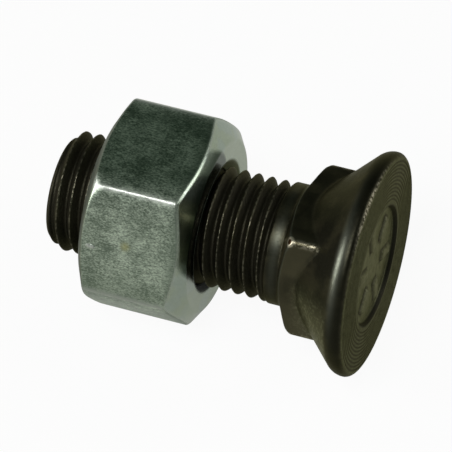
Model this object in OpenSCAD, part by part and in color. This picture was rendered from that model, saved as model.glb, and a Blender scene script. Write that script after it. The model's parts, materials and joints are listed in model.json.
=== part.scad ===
// Plow bolt with its hex nut, lying on a table as it comes to rest: on the rim of
// the head and on one flat of the nut. Millimetres, +Z up, head towards +X.

/* [Bolt] */
// Length from the head's face to the tip
bolt_l = 58.7; // [54:0.1:110]
// Diameter of the plain shank under the neck
shank_d = 22; // [20:0.1:24]
// Length of the plain shank, from the neck's fillet to the first thread
shank_l = 2.2; // [1.5:0.1:8]
// How much smaller the thread is over its crests than the plain shank
thread_under = 0.34; // [0.04:0.02:0.6]
// Thread pitch, which sets how deep the tip is chamfered
pitch = 2.5; // [1.5:0.25:3]

/* [Head] */
// Diameter of the countersunk head
head_d = 40.5; // [38:0.5:50]
// Height of the head's rim, from the face to where the cone starts
rim_h = 2.5; // [1.8:0.1:3.5]
// Rounding between the face and the rim
face_round = 0.9; // [0.3:0.1:1]
// Rounding between the rim and the cone
rim_round = 1.2; // [0.4:0.1:1.6]
// Included angle of the countersunk cone
cone_angle = 90; // [80:1:100]
// Diameter of the shallow round pocket in the face
pocket_d = 21.8; // [10:0.2:30]
// Depth of the pocket
pocket_depth = 0.85; // [0.3:0.05:1.2]
// Draft of the pocket's wall
pocket_draft = 20; // [0:1:45]

/* [Square neck] */
// How much wider the square is across its flats than the shank
neck_over = 0.4; // [0.2:0.05:1.2]
// How much is rounded off each corner of the square, along its diagonal
neck_corner = 0.5; // [0.1:0.02:0.8]
// How far the square runs past the cone before its shoulder, measured at the shank
neck_run = 2.75; // [1:0.05:6]
// Slope of the shoulder, back towards the head
shoulder_slope = 20; // [5:1:35]
// Bevel on the end of each corner of the square
corner_bevel = 0.8; // [0.2:0.1:1.2]
// Fillet between the shoulder and the shank
shoulder_fillet = 0.8; // [0.3:0.1:1.5]
// Turn of the square about the bolt's axis, from a flat facing up
neck_turn = 11; // [-45:1:45]

/* [Nut] */
// Width of the nut across its flats
nut_af = 36; // [32:0.5:40]
// Height of the nut
nut_h = 20; // [16:0.5:24]
// How much smaller each round end face is than the width across flats
nut_face_under = 3; // [1:0.1:5]
// Angle of the chamfer to the end face
nut_chamfer = 33; // [20:1:40]
// How much is rounded off each corner of the hexagon, along its diagonal
nut_corner = 0.25; // [0.05:0.05:0.6]
// How far the nut's bearing face is from the first thread
nut_run = 12.6; // [0:0.1:15]
// Gap all round between the nut's bore and the thread's crests
thread_clear = 0.05; // [0.02:0.01:0.1]
// How much wider the countersunk mouth at each end is than the bore
mouth_over = 2.2; // [1:0.1:5]
// Included angle of the mouth
mouth_angle = 100; // [80:1:120]

/* [Hidden] */
$fn = 96;

black_steel = "#33302a";
zinc_plate = "#9aa39f";

// Far enough past a face to cut it cleanly
cut = 1;

shank_r = shank_d / 2;
thread_r = (shank_d - thread_under) / 2;
head_r = head_d / 2;

// Depth of an external metric thread, as a share of its pitch, and the flat left inside it at the tip
thread_depth_share = 0.6134;
tip_relief = 0.15;
tip_chamfer = thread_depth_share * pitch + tip_relief;

// Cone of the head: its half angle, where its rounding leaves the rim, and where it meets the shank
cone_half = cone_angle / 2;
rim_end = rim_h - rim_round * tan(cone_half / 2);
cone_end = rim_h + (head_r - shank_r) / tan(cone_half);

// Square neck: its corner radius, its shoulder and fillet, and where the plain shank ends
neck_w = shank_d + neck_over;
neck_l = cone_end + neck_run;
neck_r = neck_w / sqrt(2) - neck_corner;
fillet_end = neck_l + shoulder_fillet * (1 - sin(shoulder_slope)) / cos(shoulder_slope);
thread_start = fillet_end + shank_l;
runout_l = thread_under / 2;

// Nut: its place, its bore and mouths, and how far the chamfer reaches down the middle of a flat
nut_at = thread_start + nut_run;
nut_face_r = (nut_af - nut_face_under) / 2;
bore_r = thread_r + thread_clear;
mouth_r = bore_r + mouth_over / 2;
mouth_depth = (mouth_r - bore_r) / tan(mouth_angle / 2);
nut_edge = nut_face_under / 2 * tan(nut_chamfer);

// Rest: the rim's rounding and the outer edge of the nut's lower flat both touch the table
rest_run = nut_at + nut_h - nut_edge - rim_end;
rest_drop = head_r - rim_round - nut_af / 2;
tilt = atan2(rest_drop, rest_run) + asin(rim_round / norm([rest_drop, rest_run]));
lift = (nut_at + nut_h - nut_edge) * sin(tilt) + nut_af / 2 * cos(tilt);

// Middle of the lying bolt, between the face's lowest edge and the tip's highest
face_x = (head_r - face_round) * sin(tilt) + face_round * (1 - cos(tilt));
tip_x = -bolt_l * cos(tilt) - (thread_r - tip_chamfer) * sin(tilt);
mid_x = (face_x + tip_x) / 2;

// Lays what is modelled along the bolt's axis on the table. Along the axis, z runs
// from the head's face to the tip, and x is the side that faces up.
module lay() {
    translate([-mid_x, 0, lift])
        rotate([0, -90 - tilt, 0])
            children();
}

// Round form of the bolt: face, rim, cone, shank, thread and chamfered tip.
module turned_profile() {
    polygon([
        [0, 0],
        [head_r - face_round, 0],
        [head_r, face_round],
        [head_r, rim_end],
        [head_r - rim_round * (1 - cos(cone_half)), rim_end + rim_round * sin(cone_half)],
        [shank_r, cone_end],
        [shank_r, thread_start],
        [thread_r, thread_start + runout_l],
        [thread_r, bolt_l - tip_chamfer],
        [thread_r - tip_chamfer, bolt_l],
        [0, bolt_l]
    ]);
    translate([head_r - face_round, face_round])
        circle(face_round);
    translate([head_r - rim_round, rim_end])
        circle(rim_round);
}

// Envelope of the neck's end: bevelled corners, sloping shoulder and a fillet to the shank.
module shoulder_profile() {
    bevel_r = neck_r - corner_bevel;
    bevel_z = neck_l - (bevel_r - shank_r) * tan(shoulder_slope);
    fillet_mid = [shank_r + shoulder_fillet, fillet_end];
    difference() {
        polygon([
            [0, rim_h],
            [neck_r, rim_h],
            [neck_r, bevel_z - corner_bevel],
            [bevel_r, bevel_z],
            fillet_mid - shoulder_fillet * [sin(shoulder_slope), cos(shoulder_slope)],
            [shank_r, fillet_end],
            [0, fillet_end]
        ]);
        translate(fillet_mid)
            circle(shoulder_fillet);
    }
}

module square_neck() {
    intersection() {
        rotate([0, 0, neck_turn])
            translate([0, 0, rim_h])
                linear_extrude(fillet_end - rim_h)
                    square(neck_w, center = true);
        rotate_extrude()
            shoulder_profile();
    }
}

module face_pocket() {
    floor_d = pocket_d - 2 * pocket_depth * tan(pocket_draft);
    translate([0, 0, -cut])
        cylinder(d = pocket_d, h = cut);
    cylinder(d1 = pocket_d, d2 = floor_d, h = pocket_depth);
}

module plow_bolt() {
    color(black_steel)
        lay()
            difference() {
                union() {
                    rotate_extrude()
                        turned_profile();
                    square_neck();
                }
                face_pocket();
            }
}

// Envelope of the nut: flat end faces with a chamfer cone down to the corners.
module nut_profile() {
    corner_r = nut_af / sqrt(3) - nut_corner;
    chamfer_h = (corner_r - nut_face_r) * tan(nut_chamfer);
    polygon([
        [0, 0],
        [nut_face_r, 0],
        [corner_r, chamfer_h],
        [corner_r, nut_h - chamfer_h],
        [nut_face_r, nut_h],
        [0, nut_h]
    ]);
}

// Bore with a countersunk mouth at each end.
module bore_profile() {
    polygon([
        [0, -cut],
        [mouth_r, -cut],
        [mouth_r, 0],
        [bore_r, mouth_depth],
        [bore_r, nut_h - mouth_depth],
        [mouth_r, nut_h],
        [mouth_r, nut_h + cut],
        [0, nut_h + cut]
    ]);
}

module hex_nut() {
    color(zinc_plate)
        lay()
            translate([0, 0, nut_at])
                difference() {
                    intersection() {
                        rotate([0, 0, 30])
                            cylinder(d = nut_af * 2 / sqrt(3), h = nut_h, $fn = 6);
                        rotate_extrude()
                            nut_profile();
                    }
                    rotate_extrude()
                        bore_profile();
                }
}

plow_bolt();
hex_nut();
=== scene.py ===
import json
import math

import bpy
import numpy as np
from mathutils import Matrix, Vector


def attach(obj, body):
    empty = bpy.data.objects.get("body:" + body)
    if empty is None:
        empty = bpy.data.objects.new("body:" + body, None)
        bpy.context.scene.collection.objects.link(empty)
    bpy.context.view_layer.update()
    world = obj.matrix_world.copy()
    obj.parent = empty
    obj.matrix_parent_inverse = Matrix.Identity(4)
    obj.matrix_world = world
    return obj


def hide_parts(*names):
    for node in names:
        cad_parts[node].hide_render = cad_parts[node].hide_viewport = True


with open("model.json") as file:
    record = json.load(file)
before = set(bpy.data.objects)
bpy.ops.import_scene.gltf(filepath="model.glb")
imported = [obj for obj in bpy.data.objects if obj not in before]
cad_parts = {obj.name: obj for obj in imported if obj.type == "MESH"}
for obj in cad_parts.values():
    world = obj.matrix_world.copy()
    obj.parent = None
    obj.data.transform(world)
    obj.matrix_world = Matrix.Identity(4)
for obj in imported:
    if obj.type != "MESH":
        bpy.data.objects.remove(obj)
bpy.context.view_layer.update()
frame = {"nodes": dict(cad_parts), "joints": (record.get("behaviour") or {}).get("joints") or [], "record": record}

# The bolt: one forging of medium carbon steel, blackened and oiled, with a countersunk head,
# a square neck that keeps it from turning in its hole, and a rolled right-hand thread.
# It lies with its head's rim on the table, so all its sizes run along a tilted axis, in millimetres.
MM = 0.001
shank_mount = next(m for m in frame["record"]["mounts"] if m["name"] == "shank")
shank_middle = Vector(shank_mount["pos_m"])
to_tip = Vector(frame["joints"][0]["axis"]).normalized()
across = Vector((0, 1, 0))
upward = across.cross(to_tip)


def reach_along(node):
    """Lowest and highest station of a node along the bolt's axis, from the middle of its shank, in mm."""
    stations = [(v.co - shank_middle).dot(to_tip) / MM for v in frame["nodes"][node].data.vertices]
    return min(stations), max(stations)


def reach_out(node):
    """Largest distance of a node from the bolt's axis, in mm."""
    return max((v.co - shank_middle).cross(to_tip).length / MM for v in frame["nodes"][node].data.vertices)


face_station, tip_station = reach_along("plow_bolt")
face_middle = shank_middle + to_tip * face_station * MM
bolt_axes = Matrix((upward, across, to_tip)).transposed().to_4x4()
lay = Matrix.Translation(face_middle) @ bolt_axes @ Matrix.Scale(MM, 4)

bolt_l = tip_station - face_station
head_r = reach_out("plow_bolt")
shank_r = shank_mount["dims"]["r_mm"]
thread_start = shank_mount["dims"]["length_mm"] / 2 - face_station

columns = 192
corner_crowding = 0.62
neck_sides = 4
neck_turn = math.radians(11)
neck_corners = neck_turn + math.radians(45)


def crowded(turns, corners, first_corner):
    """Angles round the axis, closer together at evenly spaced corners."""
    return turns - corner_crowding / corners * np.sin(corners * (turns - first_corner))


def wrapped(angles, sectors=1):
    """Angles from the middle of the nearest of some equal sectors, the first of them centred on zero."""
    half = math.pi / sectors
    return (angles + half) % (2 * half) - half


bolt_angles = crowded(np.arange(columns) * math.tau / columns, neck_sides, neck_corners)

# Face and rim of the head: a shallow pocket with raised dashes, turned rings round it, and a rounded edge.
pocket_r = 10.9
pocket_depth = 0.85
pocket_draft = math.radians(20)
pocket_round = 0.3
pocket_lip = 0.15
ring_first_r = 11.7
ring_last_r = 19.1
ring_pitch = 0.68
ring_depth = 0.12
mark_count = 6
mark_middle_r = 6.6
mark_l = 4.4
mark_w = 1.9
mark_h = 0.45
mark_soft = 0.35
face_round = 1.2
rim_h = 2.5
rim_round = 3.0
cone_half = math.radians(45)

floor_rows = 34
pocket_round_rows = 4
face_rows = 78
face_round_rows = 10
rim_round_rows = 13


def ramped(value, run, start=0.0):
    """Rises from 0 to 1 as a value grows over a run, from a start where the value is zero."""
    return np.clip(value / run + start, 0, 1)


def strip(value, width, soft):
    """1 within a width that is centred on zero, with soft edges."""
    return ramped(width / 2 - np.abs(value), soft, 0.5)


def bump_at(value, middle, width):
    """1 at the middle, falling off smoothly over the width."""
    return np.exp(-((value - middle) / width) ** 2)


def raised(share, least):
    """A share from 0 to 1, squeezed so that it never falls below the least."""
    return least + (1 - least) * share


def arc(middle_s, middle_r, radius, start, end, count):
    """Stations and radii along an arc, its angle measured from the radius towards the head's face."""
    angle = np.linspace(start, end, count)
    return list(zip(middle_s - radius * np.sin(angle), middle_r + radius * np.cos(angle)))


floor_r = pocket_r - pocket_depth * math.tan(pocket_draft)
round_r = floor_r - pocket_round
pocket = [(pocket_depth, r) for r in np.linspace(0, round_r, floor_rows)]
round_s = pocket_depth - pocket_round
pocket += arc(round_s, round_r, pocket_round, -math.pi / 2, -pocket_draft, pocket_round_rows)
lip_r = pocket_r + pocket_lip
pocket += arc(pocket_lip, lip_r, pocket_lip, math.pi - pocket_draft, math.pi / 2, pocket_round_rows)
face_radii = np.linspace(lip_r + pocket_lip, head_r - face_round, face_rows)
grooved = (face_radii > ring_first_r) & (face_radii < ring_last_r)
groove_wave = np.sin(math.pi * (face_radii - ring_first_r) / ring_pitch) ** 2
face = list(zip(np.where(grooved, ring_depth * groove_wave, 0.0), face_radii))
rim = arc(face_round, head_r - face_round, face_round, math.pi / 2, 0, face_round_rows)
rim_end = rim_h - rim_round * math.tan(cone_half / 2)
rim += arc(rim_end, head_r - rim_round, rim_round, 0, -cone_half, rim_round_rows)
face_profile = np.array(pocket + face + rim)
face_s = np.repeat(face_profile[:, :1], columns, 1)
face_r = np.repeat(face_profile[:, 1:], columns, 1)

outline_w = 0.45
outline_soft = 0.3
from_mark = wrapped(bolt_angles, mark_count)
mark_side = face_r * np.sin(from_mark)
mark_along = face_r * np.cos(from_mark) - mark_middle_r
marks = strip(mark_side, mark_w, mark_soft) * strip(mark_along, mark_l, mark_soft)
round_marks = strip(mark_side, mark_w + 2 * outline_w, outline_soft)
round_marks = round_marks * strip(mark_along, mark_l + 2 * outline_w, outline_soft)
mark_outlines = round_marks * (1 - marks)
face_s -= mark_h * marks

# Wear and painted light on the head: an arc of its front edge is rubbed bare, an arc behind the rim is polished
# and lightened as a painted highlight, and the face is darker round the dashes and along the pocket's lip.
bared_in = 0.60
bared_w = 0.22
bared_depth = 0.5
bared_turn = math.radians(-3)
bared_spread = math.radians(22)
bared_least = 0.04
mark_wear = 0.12
highlight_past = 1.15
highlight_w = 0.72
highlight_turn = math.radians(-40)
highlight_spread = math.radians(26)
highlight_least = 0.05
lip_darkening_w = 0.22
lip_darkening = 0.8

edge_line = bump_at(face_r, head_r - bared_in, bared_w) * (face_s < bared_depth)
bared_arc = bump_at(wrapped(bolt_angles), bared_turn, bared_spread)
face_worn = np.maximum(edge_line * raised(bared_arc, bared_least), mark_wear * marks)
highlight_arc = bump_at(wrapped(bolt_angles), highlight_turn, highlight_spread)
# Polish behind the rim, lightened as a painted highlight on the arc where the lamp's stripe falls.
face_polish_and_highlight = bump_at(face_s, rim_end + highlight_past, highlight_w) * raised(highlight_arc, highlight_least)
face_darkening = np.maximum(mark_outlines, lip_darkening * bump_at(face_r, lip_r, lip_darkening_w))

# Cone, square neck and plain shank: the cone runs out into the square's flats, and the square's bevelled
# corners and sloping shoulder run down to the shank in a soft fillet.
neck_half = 11.2
neck_corner_r = 15.34
neck_end = 14.5
shoulder_slope = math.radians(20)
corner_bevel_r = 14.54
soft_edge = 0.45
soft_fillet = 1.6
soft_crease = 0.15
fillet_run = 1.6

cone_rows = 34
shoulder_rows = 52
shank_rows = 10
shoulder_from = neck_end - 2.4
shoulder_to = neck_end + 1.2


def soft_max(a, b, blend):
    """The larger of two radii, with the corner between them rounded."""
    near = np.clip(1 - np.abs(a - b) / blend, 0, 1)
    return np.maximum(a, b) + near * near * blend / 4


def soft_min(a, b, blend):
    """The smaller of two radii, with the corner between them rounded."""
    return -soft_max(-a, -b, blend)


neck_s = np.concatenate([
    np.linspace(face_profile[-1, 0], shoulder_from, cone_rows)[1:],
    np.linspace(shoulder_from, shoulder_to, shoulder_rows)[1:],
    np.linspace(shoulder_to, thread_start, shank_rows)[1:],
])[:, None]
cone = head_r - (neck_s - rim_h) * math.tan(cone_half)
from_flat = np.maximum(np.abs(np.cos(bolt_angles - neck_turn)), np.abs(np.sin(bolt_angles - neck_turn)))
square = soft_min(neck_half / from_flat, neck_corner_r, soft_edge)[None, :]
shoulder = shank_r + (neck_end - neck_s) / math.tan(shoulder_slope)
bevel_s = neck_end - (corner_bevel_r - shank_r) * math.tan(shoulder_slope)
corner_end = soft_min(corner_bevel_r + bevel_s - neck_s, shoulder, soft_edge)
neck_end_form = soft_min(square, corner_end, soft_edge)
fillet = soft_crease + (soft_fillet - soft_crease) * ramped(neck_s - shoulder_from, fillet_run)
neck_r = soft_max(soft_max(cone, neck_end_form, soft_edge), shank_r, fillet)
neck_r[-1] = shank_r

# Wear and painted light on the neck: its corners rubbed bare, and its shoulder and the flare under it polished
# and lightened as a painted highlight.
off_cone = 0.6
off_shank = 0.8
corner_wear_w = 0.2
corner_wear_share = 0.5
flare_past = 1.5
flare_w = 0.7
flare_h = 1.5
flare_share = 0.5
flare_least = 0.3
shoulder_wear_w = 0.4
shoulder_share = 0.7

on_square = ramped(neck_r - cone, off_cone) * ramped(neck_r - shank_r, off_shank)
neck_worn = corner_wear_share * bump_at(square, neck_corner_r, corner_wear_w) * on_square
on_flare = bump_at(neck_s, neck_end + flare_past, flare_w) * (neck_r - shank_r < flare_h)
# Polish on the flare under the shoulder, lightened as a painted highlight on the same arc.
flare_polish_and_highlight = flare_share * on_flare * raised(highlight_arc, flare_least)
shoulder_polish_and_highlight = shoulder_share * bump_at(square, corner_end, shoulder_wear_w) * on_square
neck_polish_and_highlight = np.maximum(flare_polish_and_highlight, shoulder_polish_and_highlight)

head_s = np.concatenate([face_s, np.repeat(neck_s, columns, 1)])
head_radii = np.concatenate([face_r, neck_r])
head_shades = {"worn": np.concatenate([face_worn, neck_worn]),
               "polish_and_highlight": np.concatenate([face_polish_and_highlight, neck_polish_and_highlight]),
               "hollow": np.concatenate([face_darkening, np.zeros(neck_r.shape)]),
               "square": np.concatenate([np.zeros(face_r.shape), on_square])}

# Flat end of the tip.
tip_r = 9.15
tip_rows = 7
tip_radii = np.repeat(np.linspace(tip_r, 0, tip_rows)[:, None], columns, 1)
tip_s = np.full(tip_radii.shape, bolt_l)
tip_shades = {name: np.zeros(tip_s.shape) for name in head_shades}

# Thread: wound row by row on its helix. Places across a turn are shares of half a pitch, from a crest.
# Lead turns are wound before its start and cut off, and spare turns keep a phase above zero.
thread_r = 10.83
pitch = 2.5
thread_depth = 1.53
first_crest = 19.22
thread_step = 0.3
thread_run_in = 0.5 * pitch
crest_share = 0.0625
root_share = 0.86
darkening_from_share = 0.05
darkening_to_share = 0.3
crest_wear_share = 0.14
crest_wear = 0.36
rows_in_turn = 16
bolt_turns = 20
lead_turns = 2
spare_turns = 8
weld = 0.002


class Wire:
    """One socket of a node tree. Arithmetic on wires adds Math nodes, and node() adds any other node."""

    def __init__(self, tree, socket=None):
        self.tree = tree
        self.socket = socket

    def node(self, kind, settings=None, sockets=None, output=0):
        """A new node: its settings, then the values or links of its sockets. Gives one of its outputs."""
        made = self.tree.nodes.new(kind)
        for name, value in (settings or {}).items():
            setattr(made, name, value)
        for name, value in (sockets or {}).items():
            if isinstance(value, Wire):
                self.tree.links.new(value.socket, made.inputs[name])
            else:
                made.inputs[name].default_value = value
        return Wire(self.tree, made.outputs[output] if len(made.outputs) else None)

    def beside(self, output):
        """Another output of the same node."""
        return Wire(self.tree, self.socket.node.outputs[output])

    def math(self, operation, *values):
        return self.node("ShaderNodeMath", {"operation": operation}, dict(enumerate(values)))

    def vector(self, operation, *values, output=0):
        return self.node("ShaderNodeVectorMath", {"operation": operation}, dict(enumerate(values)), output)

    def ramp(self, low, high, kind="LINEAR"):
        """0 below low and 1 above high, with a straight ramp between."""
        ends = {"Value": self, "From Min": low, "From Max": high}
        return self.node("ShaderNodeMapRange", {"interpolation_type": kind}, ends)

    def smooth(self, low, high):
        """0 below low and 1 above high, with a smooth step between."""
        return self.ramp(low, high, "SMOOTHSTEP")

    def fade(self, low, high):
        """1 below low and 0 above high, with a smooth step between."""
        return 1 - self.smooth(low, high)

    def mix(self, a, b):
        """Colour a where this wire is 0 and colour b where it is 1."""
        return self.node("ShaderNodeMix", {"data_type": "RGBA"}, {0: self, 6: a, 7: b}, 2)

    def __add__(self, other):
        return self.math("ADD", self, other)

    def __radd__(self, other):
        return self.math("ADD", other, self)

    def __sub__(self, other):
        return self.math("SUBTRACT", self, other)

    def __rsub__(self, other):
        return self.math("SUBTRACT", other, self)

    def __mul__(self, other):
        return self.math("MULTIPLY", self, other)

    def __rmul__(self, other):
        return self.math("MULTIPLY", other, self)

    def __truediv__(self, other):
        return self.math("DIVIDE", self, other)

    def __rtruediv__(self, other):
        return self.math("DIVIDE", other, self)

    def __abs__(self):
        return self.math("ABSOLUTE", self)

    def at_least(self, other):
        return self.math("MAXIMUM", self, other)

    def at_most(self, other):
        return self.math("MINIMUM", self, other)


SOCKET_KINDS = {float: "NodeSocketFloat", int: "NodeSocketInt", bpy.types.Material: "NodeSocketMaterial"}


def thread_tree(name, sizes, inside):
    """Geometry Nodes that wind a right-hand thread and join it to the skin that they are given."""
    tree = bpy.data.node_groups.new(name, "GeometryNodeTree")
    tree.interface.new_socket("Skin", in_out="INPUT", socket_type="NodeSocketGeometry")
    for label, value in sizes.items():
        tree.interface.new_socket(label, in_out="INPUT", socket_type=SOCKET_KINDS[type(value)])
    tree.interface.new_socket("Piece", in_out="OUTPUT", socket_type="NodeSocketGeometry")
    given = Wire(tree).node("NodeGroupInput")
    size = {s.name: given.beside(s.name) for s in tree.interface.items_tree if s.in_out == "INPUT"}

    unit = {"Size X": 1.0, "Size Y": 1.0, "Vertices X": size["Columns"] + 1, "Vertices Y": size["Rows"] + 1}
    grid = given.node("GeometryNodeMeshGrid", sockets=unit)
    place = given.node("ShaderNodeSeparateXYZ", sockets={0: given.node("GeometryNodeInputPosition")})
    turns = (place + 0.5) * math.tau
    corner_phase = size["Corners"] * (turns - size["First Corner"])
    angle = turns - size["Crowding"] / size["Corners"] * given.math("SINE", corner_phase)
    row = (place.beside("Y") + 0.5) * size["Rows"]
    first_turn = given.math("FLOOR", (size["Start"] - size["First Crest"]) / size["Pitch"]) - lead_turns
    turn = first_turn + row / size["Rows In Turn"] + angle / math.tau
    wound = size["First Crest"] + size["Pitch"] * turn
    station = wound.at_least(size["Start"]).at_most(size["End"])

    pitches = (station - size["First Crest"]) / size["Pitch"] - angle / math.tau
    phase = given.math("FRACT", pitches + (spare_turns + 0.5))
    off_crest = abs(phase * 2 - 1)
    hollow = off_crest.ramp(crest_share, root_share)
    into = station - size["Start"]
    left = size["End"] - station
    if inside:
        cut = size["Crest Radius"] - size["Depth"] * hollow + size["Clearance"]
        mouth = size["Mouth Radius"] - into.at_most(left) * size["Mouth Slope"]
        radius = cut.at_least(size["Least Radius"]).at_least(mouth)
        shades = {"hollow": hollow}
    else:
        run_in = into.smooth(0.0, size["Run In"])
        step = (size["Crest Radius"] - size["Start Radius"]) * into.smooth(0.0, size["Step"])
        crest_r = size["Start Radius"] + step
        tip_cone = size["Tip Radius"] + left
        radius = (crest_r - size["Depth"] * hollow * run_in).at_most(tip_cone)
        shades = {"hollow": off_crest.smooth(darkening_from_share, darkening_to_share) * run_in,
                  "worn": off_crest.fade(0.0, crest_wear_share) * run_in * crest_wear}

    for attribute, value in shades.items():
        grid = given.node("GeometryNodeStoreNamedAttribute", {"data_type": "FLOAT", "domain": "POINT"},
                          {"Geometry": grid, "Name": attribute, "Value": value})
    point = {"X": radius * given.math("COSINE", angle), "Y": radius * given.math("SINE", angle), "Z": station}
    wound_grid = given.node("GeometryNodeSetPosition", sockets={
        "Geometry": grid, "Position": given.node("ShaderNodeCombineXYZ", sockets=point)})
    if inside:
        wound_grid = given.node("GeometryNodeFlipFaces", sockets={"Mesh": wound_grid})
    joined = given.node("GeometryNodeJoinGeometry")
    for part in (size["Skin"], wound_grid):
        tree.links.new(part.socket, joined.socket.node.inputs[0])
    welded = given.node("GeometryNodeMergeByDistance", sockets={"Geometry": joined, "Distance": weld})
    real = given.node("GeometryNodeRealizeInstances", sockets={"Geometry": welded})
    smooth = given.node("GeometryNodeSetShadeSmooth", sockets={"Geometry": real})
    finished = given.node("GeometryNodeSetMaterial", sockets={
        "Geometry": smooth, "Material": size["Material"]})
    given.node("NodeGroupOutput", sockets={"Piece": finished})
    return tree


def polar_mesh(name, angles, bands):
    """Open skins round the axis. A band is rows of stations, of radii, and of each attribute by its name."""
    points, quads, attributes = [], [], {}
    for stations, radii, shades in bands:
        rows, count = radii.shape
        here = np.arange(rows * count).reshape(rows, count) + len(points)
        beside = np.roll(here, -1, axis=1)
        rings = np.stack([radii * np.cos(angles), radii * np.sin(angles), stations], axis=-1)
        points += rings.reshape(-1, 3).tolist()
        quads += np.stack([here[:-1], beside[:-1], beside[1:], here[1:]], axis=-1).reshape(-1, 4).tolist()
        for attribute, values in shades.items():
            attributes.setdefault(attribute, []).extend(values.ravel())
    mesh = bpy.data.meshes.new(name)
    mesh.from_pydata(points, [], quads)
    for attribute, values in attributes.items():
        mesh.attributes.new(attribute, "FLOAT", "POINT").data.foreach_set("value", values)
    return mesh


def threaded(name, blank, sizes, inside=False):
    """The finished piece: a blank run through the thread's nodes, made a plain mesh and laid down."""
    holder = bpy.data.objects.new(name + "_blank", blank)
    bpy.context.scene.collection.objects.link(holder)
    modifier = holder.modifiers.new("thread", "NODES")
    modifier.node_group = thread_tree(name + "_thread", sizes, inside)
    for item in modifier.node_group.interface.items_tree:
        if item.name in sizes:
            modifier[item.identifier] = sizes[item.name]
    evaluated = holder.evaluated_get(bpy.context.evaluated_depsgraph_get())
    mesh = bpy.data.meshes.new_from_object(evaluated)
    holder.modifiers.clear()
    bpy.data.objects.remove(holder)
    mesh.transform(lay)
    mesh.name = name
    piece = bpy.data.objects.new(name, mesh)
    bpy.context.scene.collection.objects.link(piece)
    return piece


# Black finish: scale and oil in patches, olive where the head was turned, darker in the hollows, and bare
# steel where it is rubbed. Painted light on it: shade in the ring grooves, on the pocket's wall, on the rim
# band and under the thread, a reflection of the table on the lower cone and the square's front flats, and
# highlights on polished steel. Pairs of sizes are where a coat starts to show or fade, and where that ends.
scale_black = (0.026, 0.025, 0.016, 1)
oil_brown = (0.056, 0.051, 0.030, 1)
face_olive = (0.116, 0.118, 0.061, 1)
face_grain = (0.21, 0.21, 0.12, 1)
floor_olive = (0.175, 0.176, 0.098, 1)
# Dark for painted shade in the ring grooves, and for random dark blotches on the face.
groove_shade_and_blotch_dark = (0.030, 0.028, 0.015, 1)
# Near-black painted shade: on the pocket's wall, on the rim band and under the thread.
painted_shade_black = (0.014, 0.014, 0.009, 1)
# A painted reflection of the table on the lower cone: olive, with a paler grain.
cone_painted_sheen = (0.125, 0.125, 0.072, 1)
cone_sheen_grain = (0.25, 0.25, 0.155, 1)
# Brown on the square's front and lower flats: the steel's brown tint with a painted reflection of the table.
neck_brown_and_sheen = (0.102, 0.092, 0.055, 1)
# Darker in the thread's flanks and roots, round the dashes and along the pocket's lip.
hollow_dark = (0.042, 0.039, 0.027, 1)
# Polished steel, lightened as a painted highlight.
polished_steel_highlight = (0.130, 0.139, 0.111, 1)
rubbed_steel = (0.57, 0.52, 0.39, 1)
pit_brown = (0.07, 0.04, 0.02, 1)
oil_tint = (0.62, 0.60, 0.45, 1)

patch_mm = 5.0
blotch_mm = 1.5
scuff_mm = 0.55
speck_mm = 0.45
face_depths = (0.68, 0.95)
floor_depths = (1.5, 2.0)
face_edge = (head_r - 0.9, head_r - 0.45)
rim_edge = (head_r - 0.5, head_r - 0.1)
rings_from = (ring_first_r - 0.4, ring_first_r)
rings_to = (ring_last_r - 0.2, ring_last_r + 0.2)
wall_from = (pocket_r - 0.5, pocket_r - 0.25)
wall_to = (pocket_r + 0.05, pocket_r + 0.2)
floor_edge = (floor_r - 0.4, floor_r)
cone_from = (rim_end + 1.6, rim_end + 2.6)
cone_to = (neck_end - 6.0, neck_end - 1.0)
thread_from = (thread_start, thread_start + 2.0)
low_turn = math.radians(-122)
brown_sheen_turn = math.radians(-80)
pit_turn = neck_turn - math.radians(45)
pit_r = 14.85
pit_station = 12.7
pit_edge = (0.4, 0.6)
pit_halo = (0.8, 1.1)


def grain(coords, size_mm, detail=3.0, rough=0.5):
    """Noise from 0 to 1 whose patches are about that many millimetres across."""
    return coords.node("ShaderNodeTexNoise", sockets={
        "Vector": coords, "Scale": 1 / (size_mm * MM), "Detail": detail, "Roughness": rough})


def shade(wire, attribute):
    """An attribute of the mesh."""
    return wire.node("ShaderNodeAttribute", {"attribute_name": attribute}, output="Fac")


def mm_from(coords, place):
    """Distance of a point from a place, in mm."""
    return coords.vector("DISTANCE", coords, place, output="Value") / MM


def reach_towards(coords, turn):
    """How far a point lies from the bolt's axis in the direction of a turn about it, in mm."""
    way = upward * math.cos(turn) + across * math.sin(turn)
    offset = coords.vector("SUBTRACT", coords, face_middle)
    return coords.vector("DOT_PRODUCT", offset, way, output="Value") / MM


def coated(base, coats):
    """A colour under coats, each given by where it lies, how much it covers there, and its colour."""
    for where, cover, colour in coats:
        base = (where * cover).mix(base, colour)
    return base


def finish_start(material):
    """Empties a material's tree. Gives the place of a point, and its station and radius in mm."""
    material.use_nodes = True
    material.node_tree.nodes.clear()
    coords = Wire(material.node_tree).node("ShaderNodeTexCoord", output="Object")
    offset = coords.vector("SUBTRACT", coords, face_middle)
    along = coords.vector("DOT_PRODUCT", offset, to_tip, output="Value") / MM
    outward = coords.vector("CROSS_PRODUCT", offset, to_tip)
    out = coords.vector("LENGTH", outward, output="Value") / MM
    return coords, along, out


black_steel = bpy.data.materials.new("black_steel")
spot, along, out = finish_start(black_steel)
patches = grain(spot, patch_mm)
blotches = grain(spot, blotch_mm, 5.0, 0.65)
scuffs = grain(spot, scuff_mm)
specks = grain(spot, speck_mm)
# The bolt's lower side. It carries a painted reflection of the table on the cone and painted shade under the
# thread.
low_side = (reach_towards(spot, low_turn) / out).smooth(0.45, 0.95)
# The front and lower flats of the square, where a brown tint and a painted reflection of the table go.
brown_sheen_side = (reach_towards(spot, brown_sheen_turn) / out).smooth(0.55, 0.72)
on_face = along.fade(*face_depths) * out.fade(*face_edge)
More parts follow.
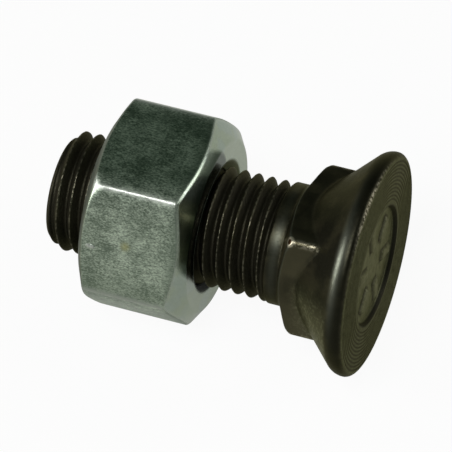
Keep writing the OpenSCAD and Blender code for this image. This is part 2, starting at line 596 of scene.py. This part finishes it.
# The pocket's wall, which is painted dark as shade.
on_wall = out.smooth(*wall_from) * out.fade(*wall_to) * on_face
on_floor = out.fade(*floor_edge) * along.fade(*floor_depths)
# The lower side of the cone, where the table's reflection is painted on.
lower_cone_sheen = along.smooth(*cone_from) * along.fade(*cone_to) * low_side
# The rim band, which is painted dark as shade.
on_rim = out.smooth(*rim_edge)
on_square_neck = shade(spot, "square")
on_thread = along.smooth(*thread_from)
in_rings = out.smooth(*rings_from) * out.fade(*rings_to)
# Painted shade in the face's ring grooves, darkest at the bottom of each groove.
ring_shade = spot.math("SINE", (out - ring_first_r) * (math.tau / ring_pitch) - math.pi / 2) * 0.5 + 0.5
rubbed = shade(spot, "worn") * scuffs.smooth(0.42, 0.60)
# Polish, and the painted highlight that lightens it.
polish_and_highlight = shade(spot, "polish_and_highlight")
hollow = shade(spot, "hollow")
from_pit = mm_from(spot, lay @ Vector((pit_r * math.cos(pit_turn), pit_r * math.sin(pit_turn), pit_station)))

turned_face = coated(face_olive, [
    (scuffs.smooth(0.50, 0.64), 0.35, face_grain),
    # Painted shade in the ring grooves, with random darker patches and blotches.
    (in_rings * ring_shade * 0.9 + (1 - patches) * 0.25, 1.0, groove_shade_and_blotch_dark),
    (blotches.smooth(0.48, 0.66), 0.45, groove_shade_and_blotch_dark),
])
pocket_floor = blotches.smooth(0.36, 0.62).mix(floor_olive, face_olive)
skin = coated(patches.smooth(0.40, 0.66).mix(scale_black, oil_brown), [
    # A painted reflection of the table on the lower cone, with grain.
    (lower_cone_sheen, 0.85, cone_painted_sheen),
    (lower_cone_sheen * scuffs.smooth(0.50, 0.62), 0.9, cone_sheen_grain),
    # Brown tint and painted reflection of the table on the square's front flats, kept off its upper flats.
    (on_square_neck * brown_sheen_side, 0.65, neck_brown_and_sheen),
    (on_face, 1.0, turned_face),
    (on_floor, 1.0, pocket_floor),
    # Painted shade: the pocket's wall and the rim band made near-black.
    (on_wall, 1.0, painted_shade_black),
    (on_rim, 0.7, painted_shade_black),
    # Darker in the thread's flanks and roots, round the dashes and along the pocket's lip.
    (hollow, 0.9, hollow_dark),
    # Painted shade under the thread, on its lower side.
    (on_thread * low_side, 0.75, painted_shade_black),
    # Polish lightened as a painted highlight.
    (polish_and_highlight, 0.8, polished_steel_highlight),
    (rubbed, 0.8, rubbed_steel),
    (from_pit.fade(*pit_halo), 0.7, rubbed_steel),
    (from_pit.fade(*pit_edge), 1.0, pit_brown),
])

steel_roughness = 0.40 + (specks - 0.5) * 0.25 + hollow * 0.12 + on_face * 0.08
steel_roughness = steel_roughness - lower_cone_sheen * 0.09 - rubbed * 0.08 - polish_and_highlight * 0.08
steel_height = specks * (1 - polish_and_highlight * 0.9) * (1 + on_thread * 6)
steel_relief = spot.node("ShaderNodeBump", sockets={
    "Strength": 0.3, "Distance": 0.05 * MM, "Height": steel_height})
steel_shader = spot.node("ShaderNodeBsdfPrincipled", sockets={
    "Base Color": skin, "Roughness": steel_roughness, "Metallic": 0.85,
    "Specular Tint": oil_tint, "Normal": steel_relief})
spot.node("ShaderNodeOutputMaterial", sockets={"Surface": steel_shader})

bolt_bands = [(head_s, head_radii, head_shades), (tip_s, tip_radii, tip_shades)]
bolt = threaded("plow_bolt_dressed", polar_mesh("bolt_blank", bolt_angles, bolt_bands), {
    "Pitch": pitch, "Crest Radius": thread_r, "Depth": thread_depth, "Start": thread_start, "End": bolt_l,
    "First Crest": first_crest, "Start Radius": shank_r, "Step": thread_step, "Run In": thread_run_in,
    "Tip Radius": tip_r, "Corners": float(neck_sides), "First Corner": neck_corners,
    "Crowding": corner_crowding, "Columns": columns, "Rows": bolt_turns * rows_in_turn,
    "Rows In Turn": rows_in_turn, "Material": black_steel})
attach(bolt, "bolt")
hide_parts("plow_bolt")

# The nut: hot formed from hexagon bar, turned to a cone at both ends, tapped, and zinc plated.
# It is wound on the bolt, and its thread follows the bolt's own turns with a little room all round.
nut_low, nut_high = reach_along("hex_nut")
nut_at = nut_low - face_station
nut_h = nut_high - nut_low
nut_end = nut_at + nut_h
nut_sides = 6
nut_half = 18.0
nut_corner_r = reach_out("hex_nut")
nut_corners = math.radians(30)
corner_round = 2.4
bearing_face_r = 15.8
bearing_chamfer = math.radians(33)
outer_face_r = 16.2
outer_chamfer = math.radians(27)
nut_round = 0.7
mouth_r = 11.98
mouth_slope = math.tan(math.radians(50))
nut_clearance = 0.12
nut_least_r = 9.65
nut_turns = 12

nut_columns = 216
chamfer_rows = 44
flat_rows = 10
end_rows = 9

nut_angles = crowded(np.arange(nut_columns) * math.tau / nut_columns, nut_sides, nut_corners)
hexagon = soft_min(nut_half / np.cos(wrapped(nut_angles, nut_sides)), nut_corner_r, corner_round)[None, :]
hexagon_r = hexagon.max()
chamfer_run = (nut_corner_r - bearing_face_r) * math.tan(bearing_chamfer) + nut_round
chamfer_s = np.linspace(0, chamfer_run, chamfer_rows)
half_s = np.concatenate([chamfer_s, np.linspace(chamfer_run, nut_h / 2, flat_rows)[1:]])
side_s = np.concatenate([half_s, nut_h - half_s[-2::-1]])[:, None]
bearing_cone = bearing_face_r + side_s / math.tan(bearing_chamfer)
outer_cone = outer_face_r + (nut_h - side_s) / math.tan(outer_chamfer)
chamfer_cone = np.minimum(bearing_cone, outer_cone)
outer_half = side_s > nut_h / 2

# A bruise flattens one corner near its outer end.
bruise_corner = math.radians(-30)
bruise_turn = math.radians(-33)
bruise_slope = math.radians(22)
bruise_station = 17.7
bruise_depth = 0.42
bruise_facing = 0.7

bruise_reach = (hexagon_r - bruise_depth) * math.cos(bruise_corner - bruise_turn)
bruise_reach = bruise_reach + (bruise_station - side_s) * math.tan(bruise_slope)
facing = np.cos(nut_angles - bruise_turn)
bruise = np.where(facing > bruise_facing, bruise_reach / np.maximum(facing, bruise_facing), 2 * nut_corner_r)

side_radii = soft_min(soft_min(hexagon, chamfer_cone, nut_round), bruise, nut_round)
end_share = np.linspace(0, 1, end_rows)[:-1, None]
bearing_radii = mouth_r + (side_radii[0] - mouth_r) * end_share
outer_radii = mouth_r + (side_radii[-1] - mouth_r) * end_share[::-1]
nut_radii = np.concatenate([bearing_radii, side_radii, outer_radii])
nut_s = nut_at + np.concatenate([np.zeros(bearing_radii.shape), np.repeat(side_s, nut_columns, 1),
                                 np.full(outer_radii.shape, nut_h)])

# Wear of the nut: its corners, the bruise and the edge of the bearing end's chamfer are rubbed bright.
# Both ends are turned: the bearing end stops at its edge, and the outer end fades out on to the flats.
edge_wear_w = 0.16
off_chamfer = 0.3
bruise_wear_run = 0.1
bruise_wear_start = 0.8
bruise_wear_turn = math.radians(-27)
bruise_wear_spread = math.radians(6)
chamfer_wear_w = 0.45
chamfer_wear_share = 0.4
outer_turned_run = 0.6
bearing_turned_run = 0.15

edge_wear = bump_at(hexagon, hexagon_r, edge_wear_w) * ramped(chamfer_cone - hexagon, off_chamfer)
bruise_wear = ramped(np.minimum(hexagon, chamfer_cone) - bruise, bruise_wear_run, bruise_wear_start)
bruise_wear *= bump_at(wrapped(nut_angles), bruise_wear_turn, bruise_wear_spread)
chamfer_wear = chamfer_wear_share * bump_at(hexagon, chamfer_cone, chamfer_wear_w) * ~outer_half
side_wear = np.maximum(np.maximum(edge_wear, chamfer_wear), bruise_wear)
turned_run = np.where(outer_half, outer_turned_run, bearing_turned_run)
side_turned = ramped(hexagon - chamfer_cone, turned_run, outer_half)
end_wear = np.zeros(bearing_radii.shape)
end_turned = np.ones(bearing_radii.shape)
nut_shades = {"worn": np.concatenate([end_wear, side_wear, end_wear]),
              "turned": np.concatenate([end_turned, side_turned, end_turned])}

# Zinc finish: a fine mottle drawn out along the bar, smoother where the nut was turned, with a painted reflection
# of the dark bolt on the front of the bearing end, painted shade in the mouth of the bore with dirt above it, a
# dirty outer chamfer, smudges by the bearing end, a painted shade along a low strip of the flats, and one nick and
# one fleck on a flat.
zinc_pale = (0.80, 0.905, 0.735, 1)
zinc_dull = (0.20, 0.255, 0.19, 1)
zinc_turned = (0.48, 0.545, 0.425, 1)
zinc_bluish = (0.46, 0.53, 0.47, 1)
zinc_dirty = (0.115, 0.125, 0.085, 1)
zinc_rubbed = (0.70, 0.73, 0.67, 1)
# A painted reflection of the dark bolt on the bearing end's chamfer, darker near the bore.
chamfer_painted_reflection = (0.115, 0.150, 0.104, 1)
dark_painted_reflection = (0.042, 0.060, 0.041, 1)
# Painted shade in the mouth of the bore.
bore_painted_shade = (0.012, 0.014, 0.010, 1)
mouth_dirt = (0.24, 0.25, 0.11, 1)
fleck_yellow = (0.47, 0.44, 0.13, 1)

bar_stretch = (0.45, 1, 1)
fine_mm = 0.20
mottle_mm = 0.9
cloud_mm = 5.0
# Where the painted reflection of the bolt lies: on the front of the bearing end, thinning further out.
reflection_turn = math.radians(-28)
reflection_swing = 18
reflection_middle = 3.4
reflection_edge = (-0.6, 0.9)
reflection_end = (nut_at + 2.8, nut_at + 4.2)
reflection_thinning = (14.5, 18.5)
reflection_dark_to = (16.0, 18.2)
dirty_end = (nut_end - 4.5, nut_end - 3.0)
dirty_from = (outer_face_r - 0.6, outer_face_r + 0.6)
# Where a painted shade lies along a low strip of the flats.
low_shade_turn = math.radians(-150)
low_shade_from = (3.5, 9.5)
low_shade_to = (9.8, 10.6)
smudged_end = (nut_at + 1.6, nut_at + 4.2)
bore_edge = (mouth_r - 0.3, mouth_r + 0.5)
dirt_turn = math.radians(60)
spotted_flat = math.radians(-60)
nick_station = 47.06
nick_side = -1.39
nick_edge = (0.2, 0.5)
fleck_station = 40.71
fleck_side = 0.07
fleck_edge = (0.1, 1.3)


def on_flat(turn, station, sideways):
    """A place on one of the nut's flats, in the part's own frame."""
    up = nut_half * math.cos(turn) - sideways * math.sin(turn)
    side = nut_half * math.sin(turn) + sideways * math.cos(turn)
    return lay @ Vector((up, side, station))


nick_place = on_flat(spotted_flat, nick_station, nick_side)
fleck_place = on_flat(spotted_flat, fleck_station, fleck_side)

zinc_plate = bpy.data.materials.new("zinc_plate")
spot, along, out = finish_start(zinc_plate)
drawn = spot.vector("MULTIPLY", spot, bar_stretch)
fine = grain(drawn, fine_mm, 2.0, 0.7)
mottle = grain(drawn, mottle_mm, 6.0, 0.8)
clouds = grain(spot, cloud_mm)
tone = fine * 0.48 + mottle * 0.30 + clouds * 0.22
turned = shade(spot, "turned")
rubbed = shade(spot, "worn") * mottle.smooth(0.25, 0.55)
# The painted reflection of the dark bolt on the front of the bearing end's chamfer and face.
reflection_reach = reach_towards(spot, reflection_turn) / out * reflection_swing + reflection_middle
painted_reflection = (reflection_reach - out).smooth(*reflection_edge) * turned * along.fade(*reflection_end)
reflection_thinned = 0.9 - out.smooth(*reflection_thinning) * 0.3
dirty = along.smooth(*dirty_end) * turned * out.smooth(*dirty_from) * (1 - rubbed)
# A painted shade along a low strip of the flats, joined with smudges by the bearing end.
low_reach = reach_towards(spot, low_shade_turn)
low_painted_shade = low_reach.smooth(*low_shade_from) * low_reach.fade(*low_shade_to) * 0.6
smudge_and_low_shade = along.fade(*smudged_end).at_least(low_painted_shade) * (1 - turned) * mottle.smooth(0.32, 0.56)
nick = mm_from(drawn, nick_place * Vector(bar_stretch)).fade(*nick_edge)
fleck = mm_from(spot, fleck_place).fade(*fleck_edge)
# Painted shade in the mouth of the bore, with brown dirt on its upper side.
near_bore = out.fade(*bore_edge) * 0.95
dirt_side = (reach_towards(spot, dirt_turn) / out).smooth(0.6, 0.95)

turned_zinc = clouds.smooth(0.45, 0.62).mix(zinc_turned, zinc_bluish)
bore_shade_and_dirt = dirt_side.mix(bore_painted_shade, mouth_dirt)
plate = coated(tone.smooth(0.40, 0.64).mix(zinc_dull, zinc_pale), [
    (turned, 0.85, turned_zinc),
    (rubbed, 1.0, zinc_rubbed),
    # The painted reflection of the dark bolt, broken up and thinner further out, darker near the bore.
    (painted_reflection * fine.fade(0.52, 0.68) * reflection_thinned, 1.0, chamfer_painted_reflection),
    (painted_reflection * out.fade(*reflection_dark_to), 0.85, dark_painted_reflection),
    (dirty, 0.85, zinc_dirty),
    # Smudges by the bearing end, and the painted low shade.
    (smudge_and_low_shade, 0.75, zinc_dull),
    (nick, 1.0, zinc_rubbed),
    (fleck, 0.6, fleck_yellow),
    # Painted shade in the bore's mouth, brown dirt above it.
    (near_bore, 1.0, bore_shade_and_dirt),
])

zinc_roughness = 0.34 + (tone - 0.5) * 0.4 * (1 - turned * 0.7) - turned * 0.17 - nick * 0.1
zinc_roughness = zinc_roughness + rubbed * 0.08 + dirty * 0.25 + near_bore * 0.3
zinc_height = tone * (1 - turned * 0.8) + nick * 12
zinc_relief = spot.node("ShaderNodeBump", sockets={
    "Strength": 0.35, "Distance": 0.04 * MM, "Height": zinc_height})
zinc_shader = spot.node("ShaderNodeBsdfPrincipled", sockets={
    "Base Color": plate, "Roughness": zinc_roughness, "Metallic": 0.97 - near_bore * 0.75,
    "Normal": zinc_relief})
spot.node("ShaderNodeOutputMaterial", sockets={"Surface": zinc_shader})

nut_bands = [(nut_s, nut_radii, nut_shades)]
nut = threaded("hex_nut_dressed", polar_mesh("nut_blank", nut_angles, nut_bands), {
    "Pitch": pitch, "Crest Radius": thread_r, "Depth": thread_depth, "Start": nut_at, "End": nut_end,
    "First Crest": first_crest, "Clearance": nut_clearance, "Least Radius": nut_least_r,
    "Mouth Radius": mouth_r, "Mouth Slope": mouth_slope, "Corners": float(nut_sides),
    "First Corner": nut_corners, "Crowding": corner_crowding, "Columns": nut_columns,
    "Rows": nut_turns * rows_in_turn, "Rows In Turn": rows_in_turn, "Material": zinc_plate}, True)
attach(nut, "nut")
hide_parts("hex_nut")

# The studio: a pale table under the bolt, three soft lamps round it and a dim room beyond.
# The room and the table are white to the camera, and the table keeps the shadow.
# What the metal mirrors of the table is dimmer, and graded from front to back.
table_size = 6
bpy.ops.mesh.primitive_plane_add(size=table_size)
table = bpy.context.object
table.name = "table"

photo_width = 452
aim = Vector((0, 0, 0.020))
camera_distance = 0.750
camera_azimuth = math.radians(20.617)
camera_elevation = math.radians(53.097)
camera_roll = math.radians(-1.1)
focal_pixels = 4253
frame_shift = Vector((-0.00087, 0.00047))


def direction(azimuth, elevation):
    """Unit vector from the object towards a place round it; azimuth 0 is in front, on the -Y side."""
    level = math.cos(elevation)
    return Vector((math.sin(azimuth) * level, -math.cos(azimuth) * level, math.sin(elevation)))


towards_camera = direction(camera_azimuth, camera_elevation)
level_right = Vector((math.cos(camera_azimuth), math.sin(camera_azimuth), 0))
level_up = towards_camera.cross(level_right)
camera_right = level_right * math.cos(camera_roll) + level_up * math.sin(camera_roll)
camera_up = towards_camera.cross(camera_right)
camera = bpy.data.objects.new("camera", bpy.data.cameras.new("camera"))
camera.data.lens = focal_pixels * camera.data.sensor_width / photo_width
camera.location = aim + towards_camera * camera_distance
camera.location -= camera_right * frame_shift.x + camera_up * frame_shift.y
camera.rotation_euler = Matrix((camera_right, camera_up, towards_camera)).transposed().to_euler()
bpy.context.scene.collection.objects.link(camera)
bpy.context.scene.camera = camera

lamp_distance = 0.9


def soft_lamp(name, azimuth, elevation, width, height, watts):
    """A soft box that faces the object, with its direction in degrees and its size in metres."""
    lamp = bpy.data.lights.new(name, "AREA")
    lamp.shape = "RECTANGLE"
    lamp.size = width
    lamp.size_y = height
    lamp.energy = watts
    place = direction(math.radians(azimuth), math.radians(elevation))
    box = bpy.data.objects.new(name, lamp)
    box.location = aim + place * lamp_distance
    box.rotation_euler = place.to_track_quat("Z", "Y").to_euler()
    bpy.context.scene.collection.objects.link(box)


soft_lamp("ceiling_lamp", -12, 62, 0.28, 0.28, 4.0)
soft_lamp("window", -66, 22, 0.24, 0.58, 3.6)
soft_lamp("back_window", 113, 27, 0.46, 0.5, 2.1)

white = (1, 1, 1, 1)
room_low = (0.48, 0.49, 0.48, 1)
room_high = (0.001, 0.021, 0.008, 1)
room_heights = (-0.1, 0.6)

world = bpy.data.worlds.new("room")
bpy.context.scene.world = world
world.use_nodes = True
world.node_tree.nodes.clear()
sky = Wire(world.node_tree)
height = sky.node("ShaderNodeSeparateXYZ", sockets={0: sky.node("ShaderNodeTexCoord")}, output=2)
dim = height.smooth(*room_heights).mix(room_low, room_high)
shown = sky.node("ShaderNodeLightPath").beside("Is Camera Ray").mix(dim, white)
backdrop = sky.node("ShaderNodeBackground", sockets={"Color": shown, "Strength": 1.0})
sky.node("ShaderNodeOutputWorld", sockets={"Surface": backdrop})

table_white = (0.82, 0.82, 0.81, 1)
front_level = (0.33, 0.34, 0.315, 1)
back_level = (0.47, 0.48, 0.45, 1)
graded_depths = (-0.045, 0.045)
mirror_share = 0.85
white_to_camera = 0.94

table_paint = bpy.data.materials.new("table_paint")
table_paint.use_nodes = True
table_paint.node_tree.nodes.clear()
paint = Wire(table_paint.node_tree)
path = paint.node("ShaderNodeLightPath")
mirrored = path.beside("Is Glossy Ray").at_least(path.beside("Is Transmission Ray"))
table_point = paint.node("ShaderNodeTexCoord", output="Object")
depth = paint.node("ShaderNodeSeparateXYZ", sockets={0: table_point}, output=1)
graded = depth.smooth(*graded_depths).mix(front_level, back_level)
matt = paint.node("ShaderNodeBsdfDiffuse", sockets={"Color": table_white})
soft_glow = paint.node("ShaderNodeEmission", sockets={"Color": graded, "Strength": 1.0})
glow = paint.node("ShaderNodeEmission", sockets={"Color": white, "Strength": 1.0})
evened = paint.node("ShaderNodeMixShader", sockets={0: mirrored * mirror_share, 1: matt, 2: soft_glow})
seen_by = path.beside("Is Camera Ray") * white_to_camera
lifted = paint.node("ShaderNodeMixShader", sockets={0: seen_by, 1: evened, 2: glow})
paint.node("ShaderNodeOutputMaterial", sockets={"Surface": lifted})
table.data.materials.append(table_paint)

bpy.context.scene.view_settings.view_transform = "Standard"
